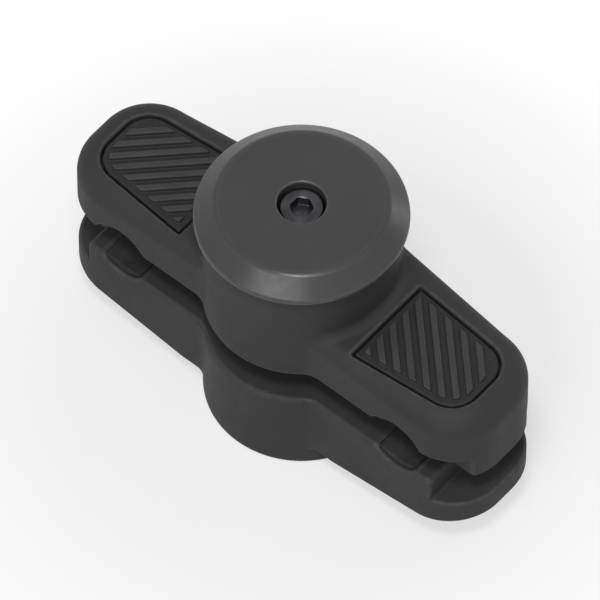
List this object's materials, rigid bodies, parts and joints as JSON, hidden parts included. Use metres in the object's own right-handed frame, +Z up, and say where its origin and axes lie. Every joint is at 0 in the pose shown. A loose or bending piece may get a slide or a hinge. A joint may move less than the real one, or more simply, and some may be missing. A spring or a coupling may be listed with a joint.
{
  "type": "saddle rail mount",
  "caption": "Two-piece clamp that grips a pair of saddle rails, with hatched pads on its arms and a round hand knob on a central neck.",
  "frame": {"origin": "midway between the two rails, at the height of their centre lines, on the knob's axis", "axes": "+X to the saddle's nose, +Y to the rider's left, +Z up to the saddle"},
  "size_m": [0.0264, 0.0654, 0.0386],
  "materials": {
    "moulded_black": "satin",
    "cover_black": "satin",
    "knob_black": "satin",
    "pad_rubber": "matte",
    "liner_rubber": "matte",
    "zinc_steel": "satin",
    "dark_steel": "satin",
    "washer_brass": "satin"
  },
  "bodies": {
    "lower": {"lower_clamp": "moulded_black", "lower_left_liner": "liner_rubber", "lower_right_liner": "liner_rubber", "clamp_nut": "zinc_steel", "nut_washer": "zinc_steel", "nut_cover": "cover_black", "left_guide_pin": "dark_steel", "right_guide_pin": "dark_steel", "separator_spring": "dark_steel"},
    "upper": {"upper_clamp": "moulded_black", "left_grip_pad": "pad_rubber", "right_grip_pad": "pad_rubber", "upper_left_liner": "liner_rubber", "upper_right_liner": "liner_rubber", "thrust_washer": "washer_brass"},
    "knob": {"knob": "knob_black", "knob_screw": "dark_steel", "screw_washer": "zinc_steel", "spindle": "zinc_steel", "knob_seal": "liner_rubber"}
  },
  "joints": [
    {"name": "upper_lift", "type": "slide", "parent": "lower", "child": "upper", "axis": [0, 0, 1], "range_m": [0, 0.004], "deforming": ["separator_spring"]},
    {"name": "knob_turn", "type": "hinge", "parent": "upper", "child": "knob", "pos_m": [0, 0, 0.02], "axis": [0, 0, 1], "range_deg": [0, 1440]}
  ],
  "couplings": [
    {"joint": "upper_lift", "follows": "knob_turn", "m_per_rad": 0.00015915}
  ]
}
